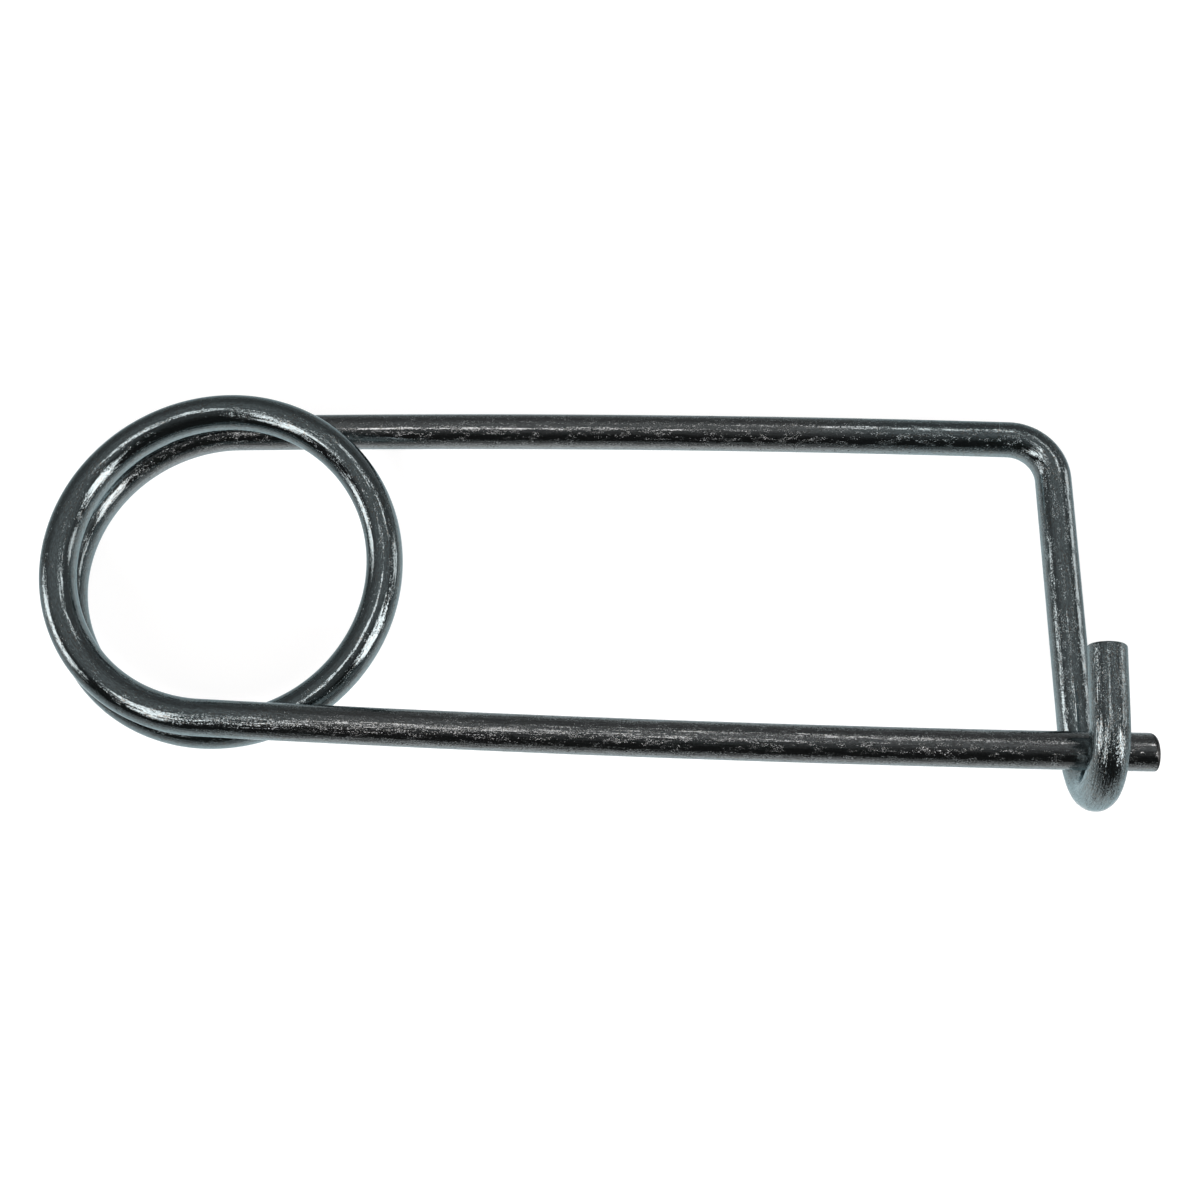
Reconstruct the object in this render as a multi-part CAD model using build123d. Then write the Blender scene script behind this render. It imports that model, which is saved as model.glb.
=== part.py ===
from build123d import *
from math import cos, degrees, radians, sin, sqrt
import os

# Spring-coil safety pin, cold-bent from one length of round steel wire.
# X runs along the pin from the coil to the hook, Z points up from the surface it lies on.
# Lengths are in millimetres and angles in degrees.

# Wire
wire_diameter = 3.05
end_chamfer = 0.4

# Spring coil: one and a half turns, and each quarter turn springs back a little differently
coil_radius = 13.6
turn_clearance = 0.15
quarter_offsets = (0.07, -0.15, 0.10, 0.24, -0.23, -0.03)

# Arms: each leaves the coil a little outwards and bows back under the spring's load
arm_flare = 0.65
shank_bow = 2.0
frame_bow = 2.6
frame_span = 66.8

# Shank beyond the hook
tip_length = 3.1
tip_setback = 0.15

# Corner and cross leg
corner_radius = 3.8
leg_lean = 2.7

# Hook: a round bend under the shank and a short front leg before it
front_clearance = 1.25
seat_gap = 0.05
hook_lean = 3.35
hook_end_length = 5.95

wire_radius = wire_diameter / 2
turn_pitch = wire_diameter + turn_clearance
up = Vector(0, 0, 1)


def turned(direction, angle):
    """The direction turned by an angle about Z, anticlockwise from above."""
    return direction.rotate(Axis.Z, angle)


class WirePath:
    """The wire's centre line, followed from one end through straight runs and flat bends."""

    def __init__(self, start, heading):
        self.place = start
        self.heading = heading.normalized()
        self.edges = []

    def run(self, length):
        """Go straight on."""
        end = self.place + self.heading * length
        self.edges.append(Edge.make_line(self.place, end))
        self.place = end

    def bend(self, inward, radius, angle):
        """Bend towards the side that inward points to, and return the new inward side."""
        start = self.place
        ahead = self.heading
        centre = start + inward * radius

        def on_arc(turn):
            return centre + (ahead * sin(turn) - inward * cos(turn)) * radius

        turn = radians(angle)
        self.edges.append(Edge.make_three_point_arc(start, on_arc(turn / 2), on_arc(turn)))
        self.place = on_arc(turn)
        self.heading = ahead * cos(turn) + inward * sin(turn)
        return inward * cos(turn) - ahead * sin(turn)


def bow_radius(chord, angle):
    """Radius of the long arc that turns by an angle over a chord."""
    return chord / 2 / sin(radians(angle / 2))


def wind_coil(path, inward, last_angle):
    """Three half turns, each tilted so that it drops by half the pitch."""
    drop = turn_pitch / 4 / coil_radius
    side = inward
    for half in range(3):
        slanted = side * sqrt(1 - drop ** 2) - up * drop
        slanted = path.bend(slanted, coil_radius + quarter_offsets[2 * half], 90)
        angle = last_angle if half == 2 else 90
        path.bend(slanted, coil_radius + quarter_offsets[2 * half + 1], angle)
        side = side * -1


def plan_crossing(place, heading, start, along):
    """Distances from place along heading, and from start along the other line, to where they cross."""
    across = heading.X * along.Y - heading.Y * along.X
    offset = start - place
    first = (offset.X * along.Y - offset.Y * along.X) / across
    second = (offset.X * heading.Y - offset.Y * heading.X) / across
    return first, second


def bend_hook(path, shank_start, shank_chord):
    """Cross leg and hook, placed so that the shank rests in the bend; returns the shank's span."""
    reach, shank_span = plan_crossing(path.place, path.heading, shank_start, shank_chord)
    depth = shank_start.Z - (path.place + path.heading * reach).Z
    hook_radius = (depth + wire_diameter + front_clearance) / 2
    seat_room = front_clearance - seat_gap
    back_room = depth - wire_diameter - seat_gap
    path.run(reach - sqrt(seat_room * back_room))

    leg_heading = path.heading
    forward = (up - leg_heading * leg_heading.dot(up)).normalized()
    path.bend(forward, hook_radius, 90)
    sideways = (leg_heading * -1).cross(forward)
    rising = leg_heading * -cos(radians(hook_lean)) + sideways * sin(radians(hook_lean))
    path.bend(rising, hook_radius, 90)
    path.run(hook_end_length)
    return shank_span


# Coil, frame arm, cross leg and hook, followed from where the shank meets the coil
shank_angle = arm_flare + shank_bow / 2
frame_angle = arm_flare + frame_bow / 2
shank_heading = turned(Vector(1, 0, 0), -shank_angle)
coil_inward = turned(Vector(0, 1, 0), -shank_angle)
shank_start = coil_inward * -coil_radius

front = WirePath(shank_start, shank_heading * -1)
wind_coil(front, coil_inward, 90 - shank_angle - frame_angle)
front.bend(front.heading.cross(up).normalized(), bow_radius(frame_span, frame_bow), frame_bow)
corner_angle = 90 - leg_lean + arm_flare - frame_bow / 2
front.bend(front.heading.cross(up).normalized(), corner_radius, corner_angle)
shank_span = bend_hook(front, shank_start, turned(Vector(1, 0, 0), -arm_flare))

# Shank: bowed as far as the hook's outer side, straight from there to its tip
shank = WirePath(shank_start, shank_heading)
shank_bow_radius = bow_radius(shank_span, shank_bow)
past_hook = degrees((wire_radius + tip_setback) / shank_bow_radius)
shank.bend(coil_inward, shank_bow_radius, shank_bow + past_hook)
shank.run(tip_length)

# One round wire along the whole centre line, with both cut ends chamfered
centre_line = Wire(shank.edges + front.edges)
start_plane = Plane(origin=centre_line @ 0, z_dir=centre_line % 0)
wire = sweep(start_plane * Circle(wire_radius), path=centre_line)
cut_ends = wire.faces().filter_by(GeomType.PLANE)
rims = [rim for face in cut_ends for rim in face.edges()]
pin = chamfer(rims, min(end_chamfer, wire_radius * 0.9))

# The pin lies on its back, with its origin under the middle of its outline
box = pin.bounding_box()
pin = Pos(-box.center().X, -box.center().Y, -box.min.Z) * pin

os.makedirs("parts", exist_ok=True)
export_step(pin, "parts/spring_wire.step")
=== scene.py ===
from collections import namedtuple
from math import cos, degrees, pi, radians, sin, sqrt, tan

import bpy
from mathutils import Matrix, Vector


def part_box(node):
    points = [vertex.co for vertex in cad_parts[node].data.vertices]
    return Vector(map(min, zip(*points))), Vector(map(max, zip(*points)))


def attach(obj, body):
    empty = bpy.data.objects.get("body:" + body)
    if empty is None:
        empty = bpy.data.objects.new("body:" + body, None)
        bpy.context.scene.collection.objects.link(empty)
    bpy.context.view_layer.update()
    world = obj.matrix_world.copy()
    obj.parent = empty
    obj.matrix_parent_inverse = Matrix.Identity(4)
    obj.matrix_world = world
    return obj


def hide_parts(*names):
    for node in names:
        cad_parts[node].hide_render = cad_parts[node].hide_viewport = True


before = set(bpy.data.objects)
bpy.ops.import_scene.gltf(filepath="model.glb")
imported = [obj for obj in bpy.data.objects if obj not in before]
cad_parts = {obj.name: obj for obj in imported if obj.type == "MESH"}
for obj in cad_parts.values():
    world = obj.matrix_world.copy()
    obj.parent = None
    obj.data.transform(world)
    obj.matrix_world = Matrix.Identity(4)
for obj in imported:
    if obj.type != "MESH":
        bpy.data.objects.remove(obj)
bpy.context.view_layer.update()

# Sizes of the wire and its centre line, the same as the solid's: metres and degrees
MM = 0.001
WIRE_RADIUS = 1.525 * MM
TURN_CLEARANCE = 0.15 * MM
COIL_RADIUS = 13.6 * MM
QUARTER_OFFSETS = [size * MM for size in (0.07, -0.15, 0.10, 0.24, -0.23, -0.03)]
ARM_FLARE = 0.65
SHANK_BOW = 2.0
FRAME_BOW = 2.6
FRAME_SPAN = 66.8 * MM
TIP_LENGTH = 3.1 * MM
TIP_SETBACK = 0.15 * MM
CORNER_RADIUS = 3.8 * MM
LEG_LEAN = 2.7
FRONT_CLEARANCE = 1.25 * MM
SEAT_GAP = 0.05 * MM
HOOK_LEAN = 3.35
HOOK_END_LENGTH = 5.95 * MM

WIRE_DIAMETER = 2 * WIRE_RADIUS
TURN_PITCH = WIRE_DIAMETER + TURN_CLEARANCE
UP = Vector((0, 0, 1))

# Rounding of each cut rim, on the side that the shear dragged and on the side it left sharp
TIP_ROUNDING = (0.6 * MM, 0.22 * MM)
TIP_DRAGGED_SIDE = Vector((0, 1, 0))
HOOK_ROUNDING = (0.26 * MM, 0.16 * MM)
HOOK_DRAGGED_SIDE = Vector((1, 0, 0))

# Length at each end without plain rings, a little more than the widest rounding
ROUNDING_ROOM = 1.2 * max(TIP_ROUNDING + HOOK_ROUNDING)

# Fineness of the wire's mesh
RING_STEP = 0.3 * MM
RING_SIDES = 56
ROUNDING_STEPS = 6
FACE_SHARES = (0.75, 0.5, 0.25)
TEXTURE_PLACE = "along_and_around"

# Stretches of the wire, in millimetres from the shank's tip: where a mark is at its least, and
# where it is at its most
# The stretch at the cut tip, where the metal is rougher and is painted near black as painted shade
CUT_TIP_AND_PAINTED_SHADE = (0.42, 0.3)
SHANK_RUB_START = (12.0, 52.0)
SHANK_RUB_END = (84.0, 62.0)
SHANK_FLECKS_END = (74.0, 60.0)
SHANK_TINT_END = (78.0, 62.0)
FRAME_ARM_START = (186.0, 200.0)
FRAME_ARM_END = (264.0, 250.0)

# The same for the rub in the hook, in millimetres back from the hook's end
HOOK_RUB_FROM_END = (15.0, 9.0)

# Noises of the plate: how much the place along the wire is shortened, which draws the marks out
# lengthwise, then the scale per millimetre, the detail and the roughness
PATCH_NOISE = (1.0, 0.45, 3.0, 0.65)
ROW_NOISE = (0.035, 4.0, 2.0, 0.6)
CLUSTER_NOISE = (0.35, 2.6, 3.0, 0.65)
FLECK_NOISE = (0.6, 13.0, 1.0, 0.6)
DRAWING_NOISE = (0.035, 10.0, 2.0, 0.5)
WAVE_NOISE = (0.035, 0.8, 1.0, 0.5)
SPECK_NOISE = (0.6, 6.0, 2.0, 0.6)
PIT_NOISE = (0.3, 9.0, 2.0, 0.7)
MIDDLE_NOISE = (0.5, 0.5, 0.5)

# Noise levels between which each mark goes from none to full
PATCH_LEVELS = (0.4, 0.62)
ROW_LEVELS = (0.5, 0.64)
CLUSTER_LEVELS = (0.5, 0.62)
ARM_CLUSTER_LEVELS = (0.48, 0.6)
SPECK_LEVELS = (0.5, 0.66)
PIT_LEVELS = (0.36, 0.64)

# Strengths of the marks: one number, or the least and the most
SHANK_RUB_SHARE = (0.25, 0.7)
WORN_CLUSTER_SHARE = (0.3, 1.0)
ARM_CLUSTER_SHARE = (0.05, 1.5)
RUB_CLUSTER_SHARE = 0.35
PIT_SHARE = (0.0, 0.3)
FLECK_TILT = 7.5
PLAIN_FLECK_TILT = 0.5
GRAIN_TILT = 0.08
DRAWING_TILT = (0.24, 0.6)
WAVE_TILT = 0.08
PLATE_ROUGHNESS = (0.09, 0.16)
RUB_ROUGHNESS = 0.05
CUT_ROUGHNESS = 0.3

# Plain white, and the colours of the metal
WHITE = (1, 1, 1, 1)
COIL_PLATE = (0.248, 0.302, 0.316, 1)
ARM_PLATE = (0.275, 0.296, 0.302, 1)
SPECK_COLOUR = (0.230, 0.242, 0.232, 1)
PIT_COLOUR = (0.05, 0.06, 0.062, 1)
# Painted shade: the cut tip's near-black colour is much darker than bare steel and stands in for shade on
# the cut end
CUT_TIP_PAINTED_SHADE = (0.07, 0.072, 0.072, 1)
EDGE_TINT = (0.56, 0.65, 0.68, 1)

# Floor: its colour in light and for the camera, its own glow for the camera, which grows with
# the distance from the pin, its glow for mirrored rays, and the smoky coat that only they see
FLOOR_RADIUS = 4.0
FLOOR_SIDES = 96
FLOOR_COLOUR = (0.86, 0.86, 0.86, 1)
FLOOR_SEEN_COLOUR = (0.25, 0.25, 0.25, 1)
FLOOR_ROUGHNESS = 0.4
FLOOR_GLOW = (0.9, 1.0)
FLOOR_GLOW_DISTANCES = (0.3, 0.9)
MIRRORED_FLOOR_GLOW = 2.4
SMOKE_TINT = (0.42, 0.42, 0.42, 1)
SMOKE_IOR = 1.05
SMOKE_ROUGHNESS = 0.25

# Room that the metal mirrors: levels of grey over the upward share of a ray's direction, behind
# the pin and before it, and the share of white close to the horizon
BEHIND_HEIGHTS = (0.45, 0.92)
BEHIND_LEVELS = (0.13, 0.27)
BEFORE_HEIGHTS = (0.7, 1.0)
BEFORE_LEVELS = (0.025, 0.12)
BEFORE_TO_BEHIND = (-0.3, 0.2)
HORIZON_HEIGHTS = (0.0, 0.09)
HORIZON_LEVELS = (0.3, 0.0)

# Soft lights: their distance, and the share of each side over which an edge fades
LIGHT_DISTANCE = 0.6
LIGHT_COLOUR = (1.0, 0.92, 0.9)
LIGHT_EDGE = 0.25

# The photograph's camera, as fitted, with its lens and sensor in millimetres
CAMERA_LENS = 50.04
CAMERA_SENSOR = 36.0
CAMERA_NEAREST = 0.005
CAMERA_PLACE = Vector((7.865, -38.237, 137.2)) * MM
CAMERA_RIGHT = Vector((0.99865, 0.03444, -0.03897))
CAMERA_BACK = Vector((0.04692, -0.27342, 0.96075))

# One ring of the wire: its centre, a side carried on without twist, its heading and its distance
# along the wire
Ring = namedtuple("Ring", "point side heading distance")


class WirePath:
    """The wire's centre line as points and headings, followed from one end."""

    def __init__(self, start, heading):
        self.place = start
        self.heading = heading.normalized()
        self.points = [start]
        self.headings = [self.heading]

    def add(self, point, heading):
        self.points.append(point)
        self.headings.append(heading)

    def run(self, length):
        """Go straight on."""
        steps = max(2, round(length / RING_STEP))
        start = self.place
        for step in range(1, steps + 1):
            self.add(start + self.heading * (length * step / steps), self.heading)
        self.place = self.points[-1]

    def bend(self, inward, radius, angle):
        """Bend towards the side that inward points to, and return the new inward side."""
        turn = radians(angle)
        steps = max(2, round(radius * turn / RING_STEP))
        centre = self.place + inward * radius
        ahead = self.heading
        for step in range(1, steps + 1):
            part = turn * step / steps
            heading = ahead * cos(part) + inward * sin(part)
            self.add(centre + (ahead * sin(part) - inward * cos(part)) * radius, heading)
        self.place = self.points[-1]
        self.heading = self.headings[-1]
        return inward * cos(turn) - ahead * sin(turn)


def turned(direction, angle):
    """The direction turned by an angle about Z, anticlockwise from above."""
    return Matrix.Rotation(radians(angle), 3, "Z") @ direction


def bow_radius(chord, angle):
    """Radius of the long arc that turns by an angle over a chord."""
    return chord / 2 / sin(radians(angle / 2))


def wind_coil(path, inward, last_angle):
    """Three half turns, each tilted so that it drops by half the pitch."""
    drop = TURN_PITCH / 4 / COIL_RADIUS
    side = inward
    for half in range(3):
        slanted = side * sqrt(1 - drop ** 2) - UP * drop
        slanted = path.bend(slanted, COIL_RADIUS + QUARTER_OFFSETS[2 * half], 90)
        angle = last_angle if half == 2 else 90
        path.bend(slanted, COIL_RADIUS + QUARTER_OFFSETS[2 * half + 1], angle)
        side = -side


def plan_crossing(place, heading, start, along):
    """Distances from place along heading, and from start along the other line, to where they cross."""
    across = heading.x * along.y - heading.y * along.x
    offset = start - place
    first = (offset.x * along.y - offset.y * along.x) / across
    second = (offset.x * heading.y - offset.y * heading.x) / across
    return first, second


def bend_hook(path, shank_start, shank_chord):
    """Cross leg and hook, placed so that the shank rests in the bend; returns the shank's span."""
    reach, shank_span = plan_crossing(path.place, path.heading, shank_start, shank_chord)
    depth = shank_start.z - (path.place + path.heading * reach).z
    hook_radius = (depth + WIRE_DIAMETER + FRONT_CLEARANCE) / 2
    seat_room = FRONT_CLEARANCE - SEAT_GAP
    back_room = depth - WIRE_DIAMETER - SEAT_GAP
    path.run(reach - sqrt(seat_room * back_room))

    leg_heading = path.heading.copy()
    forward = (UP - leg_heading * leg_heading.dot(UP)).normalized()
    path.bend(forward, hook_radius, 90)
    sideways = (-leg_heading).cross(forward)
    rising = -leg_heading * cos(radians(HOOK_LEAN)) + sideways * sin(radians(HOOK_LEAN))
    path.bend(rising, hook_radius, 90)
    path.run(HOOK_END_LENGTH)
    return shank_span


def centre_line():
    """Points and headings of the whole wire, from the shank's tip to the hook's end."""
    shank_angle = ARM_FLARE + SHANK_BOW / 2
    frame_angle = ARM_FLARE + FRAME_BOW / 2
    shank_heading = turned(Vector((1, 0, 0)), -shank_angle)
    coil_inward = turned(Vector((0, 1, 0)), -shank_angle)
    shank_start = -coil_inward * COIL_RADIUS

    front = WirePath(shank_start, -shank_heading)
    wind_coil(front, coil_inward, 90 - shank_angle - frame_angle)
    front.bend(front.heading.cross(UP).normalized(), bow_radius(FRAME_SPAN, FRAME_BOW), FRAME_BOW)
    corner_angle = 90 - LEG_LEAN + ARM_FLARE - FRAME_BOW / 2
    front.bend(front.heading.cross(UP).normalized(), CORNER_RADIUS, corner_angle)
    shank_span = bend_hook(front, shank_start, turned(Vector((1, 0, 0)), -ARM_FLARE))

    shank = WirePath(shank_start, shank_heading)
    radius = bow_radius(shank_span, SHANK_BOW)
    shank.bend(coil_inward, radius, SHANK_BOW + degrees((WIRE_RADIUS + TIP_SETBACK) / radius))
    shank.run(TIP_LENGTH)
    points = shank.points[:0:-1] + front.points
    headings = [-heading for heading in shank.headings[:0:-1]] + front.headings
    return points, headings


def carried_side(side, heading):
    """The side carried on to the next ring without twist."""
    return (side - heading * side.dot(heading)).normalized()


def wire_rings():
    """Rings of the wire, from the shank's tip to the hook's end."""
    points, headings = centre_line()
    side = carried_side(UP, headings[0])
    rings = []
    distance = 0.0
    for index, (point, heading) in enumerate(zip(points, headings)):
        if index:
            distance += (point - points[index - 1]).length
        side = carried_side(side, heading)
        rings.append(Ring(point, side, heading, distance))
    return rings


def spokes(ring):
    """Directions from a ring's centre to its vertices."""
    other = ring.heading.cross(ring.side)
    turns = [2 * pi * spoke / RING_SIDES for spoke in range(RING_SIDES)]
    return [ring.side * cos(turn) + other * sin(turn) for turn in turns]


def side_row(ring):
    """One row of vertices round the wire, and its place along it."""
    return [ring.point + spoke * WIRE_RADIUS for spoke in spokes(ring)], ring.distance


def end_rows(ring, outward, rounding, dragged_side):
    """Rows that round one cut rim over and close in on the middle of the cut face."""
    most, least = rounding
    middle = (most + least) / 2
    rows = []
    for step in range(ROUNDING_STEPS + 1):
        turn = pi / 2 * step / ROUNDING_STEPS
        row = []
        for spoke in spokes(ring):
            size = middle + (most - least) / 2 * spoke.dot(dragged_side)
            inset = size * (1 - sin(turn))
            reach = WIRE_RADIUS - size * (1 - cos(turn))
            row.append(ring.point - ring.heading * (outward * inset) + spoke * reach)
        rows.append((row, ring.distance - outward * middle * (1 - sin(turn))))
    rim = rows[-1][0]
    for share in FACE_SHARES:
        row = [ring.point + (vertex - ring.point) * share for vertex in rim]
        rows.append((row, ring.distance + outward * WIRE_RADIUS * (1 - share)))
    return rows


def skin_faces(row_count, first_centre, last_centre):
    """Faces between the rows, and a fan of faces over the middle of each cut face."""
    faces = []
    last = (row_count - 1) * RING_SIDES
    for low in range(0, last, RING_SIDES):
        for spoke in range(RING_SIDES):
            after = (spoke + 1) % RING_SIDES
            faces.append((low + spoke, low + after, low + RING_SIDES + after, low + RING_SIDES + spoke))
    for spoke in range(RING_SIDES):
        after = (spoke + 1) % RING_SIDES
        faces.append((first_centre, after, spoke))
        faces.append((last_centre, last + spoke, last + after))
    return faces


def moved_to_node(vertices):
    """The vertices moved so that the middle of their box is the middle of the node's."""
    low = Vector([min(vertex[axis] for vertex in vertices) for axis in range(3)])
    high = Vector([max(vertex[axis] for vertex in vertices) for axis in range(3)])
    node_low, node_high = (Vector(corner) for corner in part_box("spring_wire"))
    shift = (node_low + node_high) / 2 - (low + high) / 2
    return [vertex + shift for vertex in vertices]


def lay_texture(mesh, distances, centre_distances):
    """UV coordinates: millimetres along the wire, and the share of a turn around it."""
    uv_layer = mesh.uv_layers.new(name=TEXTURE_PLACE)
    for polygon in mesh.polygons:
        corners = [(loop, mesh.loops[loop].vertex_index) for loop in polygon.loop_indices]
        crosses_seam = any(vertex % RING_SIDES == RING_SIDES - 1 for loop, vertex in corners)
        for loop, vertex in corners:
            row, spoke = divmod(vertex, RING_SIDES)
            if vertex in centre_distances:
                along, around = centre_distances[vertex], 0.5
            elif spoke == 0 and crosses_seam:
                along, around = distances[row], 1.0
            else:
                along, around = distances[row], spoke / RING_SIDES
            uv_layer.data[loop].uv = (along / MM, around)


def build_wire():
    """The wire as one mesh, swept in rings from tip to hook, and its length."""
    rings = wire_rings()
    length = rings[-1].distance
    rows = end_rows(rings[0], -1, TIP_ROUNDING, TIP_DRAGGED_SIDE)[::-1]
    plain = [ring for ring in rings if ROUNDING_ROOM < ring.distance < length - ROUNDING_ROOM]
    rows += [side_row(ring) for ring in plain]
    rows += end_rows(rings[-1], 1, HOOK_ROUNDING, HOOK_DRAGGED_SIDE)
    vertices = [vertex for row, distance in rows for vertex in row]
    first_centre = len(vertices)
    last_centre = first_centre + 1
    vertices += [rings[0].point, rings[-1].point]

    mesh = bpy.data.meshes.new("pin_wire")
    faces = skin_faces(len(rows), first_centre, last_centre)
    mesh.from_pydata(moved_to_node(vertices), [], faces)
    mesh.shade_smooth()
    distances = [distance for row, distance in rows]
    lay_texture(mesh, distances, {first_centre: -WIRE_RADIUS, last_centre: length + WIRE_RADIUS})
    wire = bpy.data.objects.new("pin_wire", mesh)
    bpy.context.scene.collection.objects.link(wire)
    return wire, length


class NodeMaker:
    """Short ways to add and join the nodes of a material, a light or the world."""

    def __init__(self, tree):
        self.nodes = tree.nodes
        self.links = tree.links

    def put(self, value, socket):
        if isinstance(value, bpy.types.NodeSocket):
            self.links.new(value, socket)
        else:
            socket.default_value = value

    def math(self, operation, *values):
        node = self.nodes.new("ShaderNodeMath")
        node.operation = operation
        for value, socket in zip(values, node.inputs):
            self.put(value, socket)
        return node.outputs[0]

    def vector(self, operation, first, second=(0, 0, 0), scale=None):
        node = self.nodes.new("ShaderNodeVectorMath")
        node.operation = operation
        self.put(first, node.inputs[0])
        if scale is None:
            self.put(second, node.inputs[1])
        else:
            self.put(scale, node.inputs["Scale"])
        return node.outputs["Value" if operation == "LENGTH" else "Vector"]

    def split(self, vector):
        """The outputs X, Y and Z of a vector, by name."""
        node = self.nodes.new("ShaderNodeSeparateXYZ")
        self.links.new(vector, node.inputs[0])
        return node.outputs

    def spread(self, value, levels, results=(0.0, 1.0)):
        """Smoothly stretch a range of values to another."""
        node = self.nodes.new("ShaderNodeMapRange")
        node.interpolation_type = "SMOOTHSTEP"
        self.put(value, node.inputs["Value"])
        for name, number in zip(("From Min", "From Max", "To Min", "To Max"), levels + results):
            node.inputs[name].default_value = number
        return node.outputs["Result"]

    def mix(self, share, first, second):
        """A colour between two, by a share from 0 to 1."""
        node = self.nodes.new("ShaderNodeMix")
        node.data_type = "RGBA"
        self.put(share, node.inputs["Factor"])
        self.put(first, node.inputs["A"])
        self.put(second, node.inputs["B"])
        return node.outputs["Result"]

    def noise(self, place, settings):
        """A noise over the straightened wire."""
        share_along, scale, detail, roughness = settings
        node = self.nodes.new("ShaderNodeTexNoise")
        self.put(self.vector("MULTIPLY", place, (share_along, 1.0, 1.0)), node.inputs["Vector"])
        node.inputs["Scale"].default_value = scale
        node.inputs["Detail"].default_value = detail
        node.inputs["Roughness"].default_value = roughness
        return node

    def noise_level(self, place, settings):
        return self.noise(place, settings).outputs["Fac"]

    def noise_tilt(self, place, settings):
        """A noise in three directions about zero."""
        return self.vector("SUBTRACT", self.noise(place, settings).outputs["Color"], MIDDLE_NOISE)

    def straightened_place(self):
        """Place on the wire as if it were straight, in millimetres, and the distance along it."""
        uv = self.nodes.new("ShaderNodeUVMap")
        uv.uv_map = TEXTURE_PLACE
        along_and_around = self.split(uv.outputs["UV"])
        along = along_and_around["X"]
        turn = self.math("MULTIPLY", along_and_around["Y"], 2 * pi)
        radius = WIRE_RADIUS / MM
        join = self.nodes.new("ShaderNodeCombineXYZ")
        self.links.new(along, join.inputs[0])
        self.links.new(self.math("MULTIPLY", self.math("COSINE", turn), radius), join.inputs[1])
        self.links.new(self.math("MULTIPLY", self.math("SINE", turn), radius), join.inputs[2])
        return join.outputs[0], along

    def seen_and_mirrored(self):
        """Whether the ray comes from the camera, and whether it is a mirrored or refracted one."""
        path = self.nodes.new("ShaderNodeLightPath")
        mirrored = self.math("MAXIMUM", path.outputs["Is Glossy Ray"], path.outputs["Is Transmission Ray"])
        return path.outputs["Is Camera Ray"], mirrored


def new_material(name):
    """A node material, its maker and its shader."""
    material = bpy.data.materials.new(name)
    material.use_nodes = True
    maker = NodeMaker(material.node_tree)
    return material, maker, maker.nodes["Principled BSDF"]


def rubbed_stretches(maker, along, wire_length):
    """Where the shank and the hook are rubbed in use."""
    hook_levels = tuple(wire_length - distance for distance in HOOK_RUB_FROM_END)
    hook_rub = maker.spread(along, hook_levels)
    shank_rub = maker.spread(along, SHANK_RUB_START, SHANK_RUB_SHARE)
    shank_rub = maker.math("MINIMUM", shank_rub, maker.spread(along, SHANK_RUB_END))
    return maker.math("MAXIMUM", hook_rub, shank_rub)


def fleck_clusters(maker, place, along, worn, rubbed):
    """Where the flecks are many: in clusters, more of them in worn places and off the coil."""
    arms = maker.spread(along, SHANK_FLECKS_END)
    arms = maker.math("MAXIMUM", arms, maker.spread(along, FRAME_ARM_START))
    level = maker.noise_level(place, CLUSTER_NOISE)
    clusters = maker.spread(level, CLUSTER_LEVELS)
    clusters = maker.math("MULTIPLY", clusters, maker.spread(worn, (0.0, 1.0), WORN_CLUSTER_SHARE))
    arm_clusters = maker.spread(level, ARM_CLUSTER_LEVELS, ARM_CLUSTER_SHARE)
    clusters = maker.math("MAXIMUM", clusters, maker.math("MULTIPLY", arm_clusters, arms))
    return maker.math("MAXIMUM", clusters, maker.math("MULTIPLY", rubbed, RUB_CLUSTER_SHARE))


def marked_normal(maker, place, clusters, rubbed):
    """The surface's direction, tilted by flecks, grain, drawing lines and long waves."""
    grain = maker.noise_tilt(place, FLECK_NOISE)
    flecks = maker.vector("MULTIPLY", grain, maker.vector("ABSOLUTE", grain))
    fleck_tilt = maker.math("MULTIPLY_ADD", clusters, FLECK_TILT, PLAIN_FLECK_TILT)
    drawing = maker.noise_tilt(place, DRAWING_NOISE)
    drawing_tilt = maker.spread(rubbed, (0.0, 1.0), DRAWING_TILT)
    waves = maker.noise_tilt(place, WAVE_NOISE)

    geometry = maker.nodes.new("ShaderNodeNewGeometry")
    tilt = maker.vector("SCALE", flecks, scale=fleck_tilt)
    tilt = maker.vector("ADD", tilt, maker.vector("SCALE", grain, scale=GRAIN_TILT))
    tilt = maker.vector("ADD", tilt, maker.vector("SCALE", drawing, scale=drawing_tilt))
    tilt = maker.vector("ADD", tilt, maker.vector("SCALE", waves, scale=WAVE_TILT))
    return maker.vector("NORMALIZE", maker.vector("ADD", geometry.outputs["Normal"], tilt))


def plate_colour(maker, place, along, worn, cut_tip_and_painted_shade):
    """Blue-white plate, more neutral on the arms, with specks, dark pits and painted shade on the cut tip,
    which is painted near black.
    """
    frame_arm = maker.spread(along, FRAME_ARM_START)
    frame_arm = maker.math("MINIMUM", frame_arm, maker.spread(along, FRAME_ARM_END))
    arms = maker.math("MAXIMUM", maker.spread(along, SHANK_TINT_END), frame_arm)
    specks = maker.spread(maker.noise_level(place, SPECK_NOISE), SPECK_LEVELS)
    pits = maker.spread(maker.noise_level(place, PIT_NOISE), PIT_LEVELS, PIT_SHARE)
    colour = maker.mix(arms, COIL_PLATE, ARM_PLATE)
    colour = maker.mix(maker.math("MULTIPLY", specks, worn), colour, SPECK_COLOUR)
    colour = maker.mix(pits, colour, PIT_COLOUR)
    # The cut tip is painted near black: painted shade
    return maker.mix(cut_tip_and_painted_shade, colour, CUT_TIP_PAINTED_SHADE)


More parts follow.
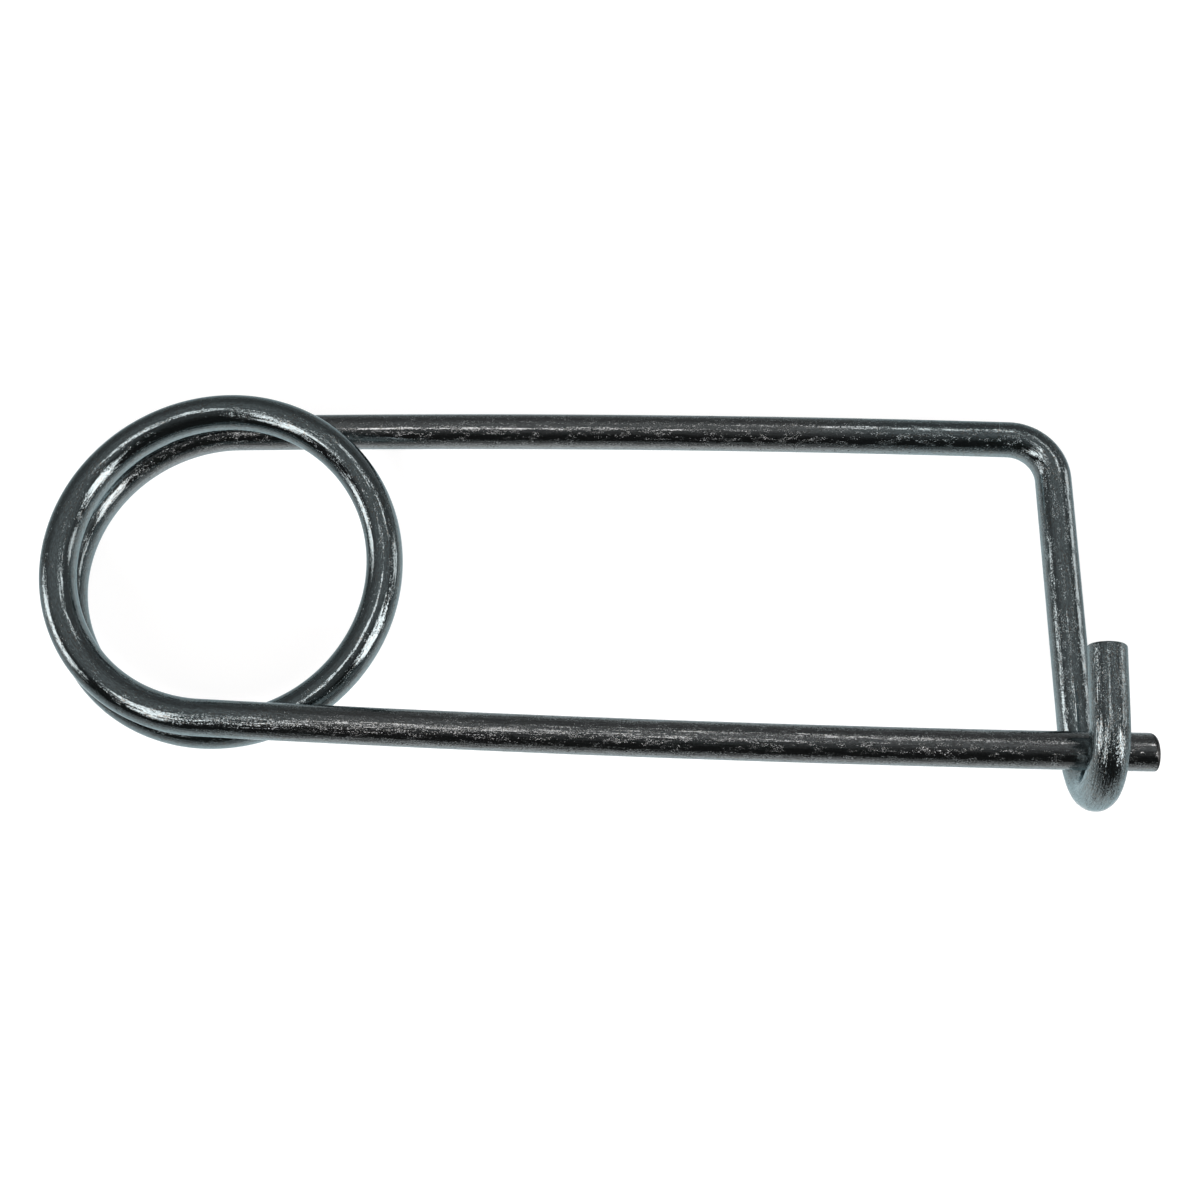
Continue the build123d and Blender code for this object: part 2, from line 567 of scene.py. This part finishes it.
def plated_steel(wire_length):
    """Bright zinc plate over drawn wire: mirror-like, with drawing lines, flecks, rubbed stretches and
    painted shade on the cut tip.
    """
    material, maker, shader = new_material("zinc_plated_steel")
    shader.inputs["Metallic"].default_value = 1.0
    shader.inputs["Specular Tint"].default_value = EDGE_TINT
    place, along = maker.straightened_place()

    rubbed = rubbed_stretches(maker, along, wire_length)
    patches = maker.spread(maker.noise_level(place, PATCH_NOISE), PATCH_LEVELS)
    rows = maker.spread(maker.noise_level(place, ROW_NOISE), ROW_LEVELS)
    worn = maker.math("MAXIMUM", maker.math("MAXIMUM", patches, rows), rubbed)
    clusters = fleck_clusters(maker, place, along, worn, rubbed)
    # The cut tip's stretch: rougher metal, and painted shade in the colour
    cut_tip_and_painted_shade = maker.spread(along, CUT_TIP_AND_PAINTED_SHADE)

    roughness = maker.spread(clusters, (0.0, 1.0), PLATE_ROUGHNESS)
    roughness = maker.math("ADD", roughness, maker.math("MULTIPLY", rubbed, RUB_ROUGHNESS))
    roughness = maker.math("ADD", roughness, maker.math("MULTIPLY", cut_tip_and_painted_shade, CUT_ROUGHNESS))
    maker.put(roughness, shader.inputs["Roughness"])
    maker.put(marked_normal(maker, place, clusters, rubbed), shader.inputs["Normal"])
    maker.put(plate_colour(maker, place, along, worn, cut_tip_and_painted_shade), shader.inputs["Base Color"])
    return material


def make_floor():
    """Wide pale floor, white for the camera, with a shadow on it.

    The metal sees it white under a smoky coat, which darkens it at shallow angles."""
    bpy.ops.mesh.primitive_circle_add(vertices=FLOOR_SIDES, radius=FLOOR_RADIUS, fill_type="NGON")
    floor = bpy.context.object
    floor.name = "floor"
    material, maker, shader = new_material("pale_floor")
    shader.inputs["Roughness"].default_value = FLOOR_ROUGHNESS
    shader.inputs["Specular IOR Level"].default_value = 0.0
    shader.inputs["Coat IOR"].default_value = SMOKE_IOR
    shader.inputs["Coat Roughness"].default_value = SMOKE_ROUGHNESS
    shader.inputs["Coat Tint"].default_value = SMOKE_TINT
    shader.inputs["Emission Color"].default_value = WHITE

    seen, mirrored = maker.seen_and_mirrored()
    maker.put(maker.mix(seen, FLOOR_COLOUR, FLOOR_SEEN_COLOUR), shader.inputs["Base Color"])
    maker.put(mirrored, shader.inputs["Coat Weight"])
    geometry = maker.nodes.new("ShaderNodeNewGeometry")
    distance = maker.vector("LENGTH", geometry.outputs["Position"])
    seen_glow = maker.math("MULTIPLY", seen, maker.spread(distance, FLOOR_GLOW_DISTANCES, FLOOR_GLOW))
    mirrored_glow = maker.math("MULTIPLY", mirrored, MIRRORED_FLOOR_GLOW)
    maker.put(maker.math("ADD", seen_glow, mirrored_glow), shader.inputs["Emission Strength"])
    floor.data.materials.append(material)


def make_world():
    """A dim room: pale at the horizon, mid grey behind and above the pin and darker in front of it.

    The camera sees white where it looks past the floor."""
    world = bpy.data.worlds.new("studio_room")
    bpy.context.scene.world = world
    world.use_nodes = True
    maker = NodeMaker(world.node_tree)
    coordinates = maker.nodes.new("ShaderNodeTexCoord")
    direction = maker.split(coordinates.outputs["Generated"])
    behind = maker.spread(direction["Z"], BEHIND_HEIGHTS, BEHIND_LEVELS)
    before = maker.spread(direction["Z"], BEFORE_HEIGHTS, BEFORE_LEVELS)
    room = maker.mix(maker.spread(direction["Y"], BEFORE_TO_BEHIND), before, behind)
    seen, mirrored = maker.seen_and_mirrored()
    horizon = maker.spread(direction["Z"], HORIZON_HEIGHTS, HORIZON_LEVELS)
    horizon = maker.math("MULTIPLY", mirrored, horizon)
    colour = maker.mix(maker.math("MAXIMUM", seen, horizon), room, WHITE)
    maker.put(colour, maker.nodes["Background"].inputs["Color"])


def soft_light(name, azimuth, elevation, width, height, level, roll=0.0):
    """A rectangular soft light that faces the pin, as bright as its level times white.

    Its azimuth is anticlockwise from +X, and its width and height are in metres."""
    data = bpy.data.lights.new(name, "AREA")
    data.shape = "RECTANGLE"
    data.size = width
    data.size_y = height
    data.energy = level * pi * width * height
    data.color = LIGHT_COLOUR
    light = bpy.data.objects.new(name, data)
    bpy.context.scene.collection.objects.link(light)
    turn = radians(azimuth)
    outward = Vector((cos(turn), sin(turn), tan(radians(elevation)))).normalized()
    light.location = outward * LIGHT_DISTANCE
    facing = outward.to_track_quat("Z", "Y").to_matrix() @ Matrix.Rotation(radians(roll), 3, "Z")
    light.rotation_euler = facing.to_euler()
    light.visible_camera = False
    return light


def fade_edges(light):
    """Let a soft light fade out over the outer quarter of its width and height."""
    light.data.use_nodes = True
    maker = NodeMaker(light.data.node_tree)
    geometry = maker.nodes.new("ShaderNodeNewGeometry")
    shares = maker.split(geometry.outputs["Parametric"])
    fades = []
    for side in ("X", "Y"):
        from_edge = maker.math("PINGPONG", shares[side], 0.5)
        fades.append(maker.spread(from_edge, (0.0, LIGHT_EDGE)))
    maker.put(maker.math("MULTIPLY", *fades), maker.nodes["Emission"].inputs["Strength"])


def make_lights():
    """Faded lights that the metal mirrors, and one lamp that only matt surfaces take light from."""
    for light in (
        soft_light("right_soft", -21, 32, 0.29, 0.56, 4.4),
        soft_light("front_left_soft", 219, 48, 0.19, 0.6, 3.6, roll=34),
        soft_light("left_low_soft", 183, 14, 0.36, 0.32, 3.6),
        soft_light("overhead_soft", 160, 82, 0.12, 0.2, 3.2, roll=24),
        soft_light("right_low_soft", 16, 10, 0.26, 0.28, 1.9),
        soft_light("back_soft", 47, 48, 0.16, 0.09, 3.0),
        soft_light("back_strip_soft", 75, 52, 0.08, 0.22, 2.8),
    ):
        fade_edges(light)
    floor_soft = soft_light("floor_soft", 265, 32, 0.2, 0.2, 42.0)
    floor_soft.visible_glossy = False


def make_camera():
    """The photograph's camera, from its fitted place and axes."""
    data = bpy.data.cameras.new("photo_camera")
    data.lens = CAMERA_LENS
    data.sensor_width = CAMERA_SENSOR
    data.clip_start = CAMERA_NEAREST
    camera = bpy.data.objects.new("photo_camera", data)
    bpy.context.scene.collection.objects.link(camera)
    back = CAMERA_BACK.normalized()
    upward = back.cross(CAMERA_RIGHT.normalized()).normalized()
    right = upward.cross(back)
    camera_axes = Matrix((right, upward, back)).transposed().to_4x4()
    camera.matrix_world = Matrix.Translation(CAMERA_PLACE) @ camera_axes
    bpy.context.scene.camera = camera


make_floor()
make_world()
make_camera()
make_lights()

wire, wire_length = build_wire()
wire.data.materials.append(plated_steel(wire_length / MM))
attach(wire, "root")
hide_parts("spring_wire")

bpy.context.scene.view_settings.view_transform = "Standard"
